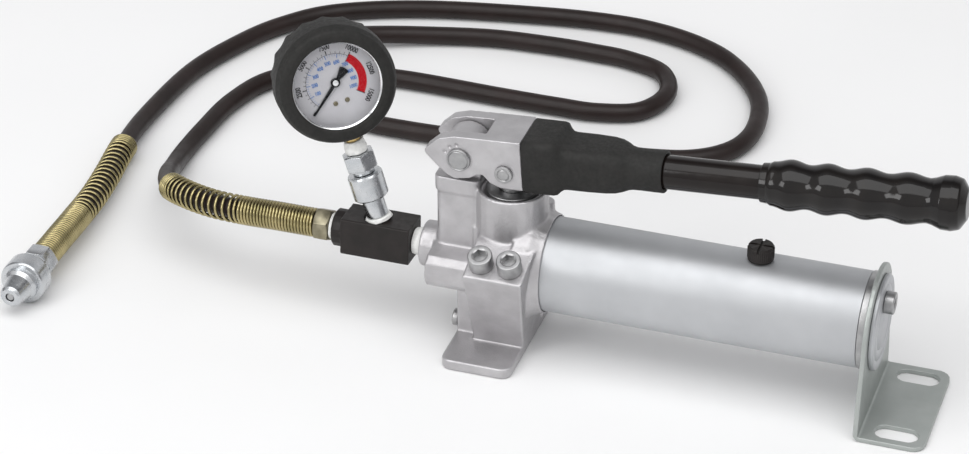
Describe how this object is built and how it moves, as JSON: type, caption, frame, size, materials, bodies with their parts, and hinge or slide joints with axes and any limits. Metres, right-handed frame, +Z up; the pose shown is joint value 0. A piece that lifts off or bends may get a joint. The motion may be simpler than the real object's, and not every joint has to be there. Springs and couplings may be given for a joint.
{
  "type": "hydraulic hand pump",
  "caption": "Lever-operated hydraulic hand pump with a cylindrical reservoir, foot brackets, rubber-booted pressure gauge and a long hose ending in a coupler.",
  "frame": {"origin": "on the floor under the plunger axis, on the underside of the front foot", "axes": "+X along the reservoir tube from the pump head to the rear bracket, +Z up, +Y to the side away from the valve screws"},
  "size_m": [0.6125, 0.4937, 0.2026],
  "materials": {
    "cast": "fine-grained silver casting",
    "satin": "satin silver",
    "bracket": "silver grey paint on sheet",
    "steel": "machined steel",
    "zinc": "bright zinc plating",
    "yellow_zinc": "yellow zinc plating on spring wire",
    "brass": "plain brass",
    "black_metal": "black oxide",
    "tape": "white thread tape and washers",
    "rubber": "matte black rubber, fine texture",
    "hose": "dark brown-black hose cover, slight sheen",
    "black_enamel": "gloss black paint",
    "grip": "gloss black moulded plastic",
    "dial": "off-white printed dial",
    "glass": "clear"
  },
  "bodies": {
    "pump_base": {"pump_head": "cast", "reservoir_tube": "satin", "end_disc": "satin", "rear_bracket": "bracket", "gland_nut": "steel", "delivery_spring": "steel", "relief_ball": "steel", "relief_spring": "steel", "relief_screw": "steel", "valve_screw_left": "steel", "valve_screw_right": "steel", "drain_plug": "steel", "release_ball": "steel", "suction_tube": "steel", "tie_rod": "steel", "end_cap": "steel", "end_cap_screw": "steel", "gauge_case": "steel", "outlet_nipple": "zinc", "hose_hex_fitting": "zinc", "gauge_adapter": "zinc", "gauge_hex": "zinc", "gauge_bezel": "zinc", "hose_end_hex": "zinc", "coupler_body": "zinc", "spring_guard_pump": "yellow_zinc", "spring_guard_far": "yellow_zinc", "suction_filter": "brass", "gauge_stem": "brass", "gauge_movement": "brass", "bourdon_tube": "brass", "gauge_tee": "black_metal", "outlet_seal_ring": "tape", "hose_seal_ring": "tape", "port_seal_ring": "tape", "gauge_tape": "tape", "plunger_seal": "rubber", "front_tube_seal": "rubber", "rear_tube_seal": "rubber", "filler_seal": "rubber", "gauge_boot": "rubber", "hose_tube": "hose", "gauge_dial": "dial", "gauge_lens": "glass"},
    "lever": {"lever_fork": "cast", "fulcrum_pin": "steel", "plunger_pin": "steel", "handle_shaft": "black_enamel", "handle_grip": "grip", "lever_boot": "rubber"},
    "plunger_rod": {"plunger": "steel"},
    "release_screw": {"release_stem": "steel", "release_knob": "black_metal"},
    "vent_cap": {"filler_cap": "black_metal"},
    "needle": {"gauge_needle": "black_enamel"},
    "swivel_collar": {"gauge_collar": "zinc"},
    "poppet": {"coupler_poppet": "steel"},
    "suction_check": {"suction_ball": "steel"},
    "delivery_check": {"delivery_ball": "steel"}
  },
  "joints": [
    {"name": "lever_hinge", "type": "hinge", "parent": "pump_base", "child": "lever", "pos_m": [-0.0289, 0, 0.1348], "axis": [0, -1, 0], "range_deg": [-4, 40]},
    {"name": "plunger_slide", "type": "slide", "parent": "pump_base", "child": "plunger_rod", "axis": [0, 0, 1], "range_m": [-0.0021, 0.0201]},
    {"name": "release_turn", "type": "hinge", "parent": "pump_base", "child": "release_screw", "pos_m": [-0.045, 0.026, 0.05], "axis": [-1, 0, 0], "range_deg": [0, 180]},
    {"name": "vent_cap_turn", "type": "hinge", "parent": "pump_base", "child": "vent_cap", "pos_m": [0.1585, 0, 0.095], "axis": [0, 0, 1], "range_deg": [0, 180]},
    {"name": "needle_turn", "type": "hinge", "parent": "pump_base", "child": "needle", "pos_m": [-0.11872, 0.00614, 0.16226], "axis": [-0.4998, 0.8369, -0.2232], "range_deg": [0, 260], "stiffness_Nm_per_rad": 0.0005},
    {"name": "collar_turn", "type": "hinge", "parent": "pump_base", "child": "swivel_collar", "pos_m": [-0.0878, 0, 0.07], "axis": [-0.3171, 0.063, 0.9463], "continuous": true},
    {"name": "poppet_slide", "type": "slide", "parent": "pump_base", "child": "poppet", "axis": [0, 1, 0], "range_m": [0, 0.003], "stiffness_N_per_m": 300},
    {"name": "suction_check_slide", "type": "slide", "parent": "pump_base", "child": "suction_check", "axis": [0, 0, 1], "range_m": [0, 0.0012]},
    {"name": "delivery_check_slide", "type": "slide", "parent": "pump_base", "child": "delivery_check", "axis": [-1, 0, 0], "range_m": [0, 0.0012], "stiffness_N_per_m": 100}
  ],
  "couplings": [
    {"joint": "plunger_slide", "follows": "lever_hinge", "m_per_rad": 0.0286}
  ]
}
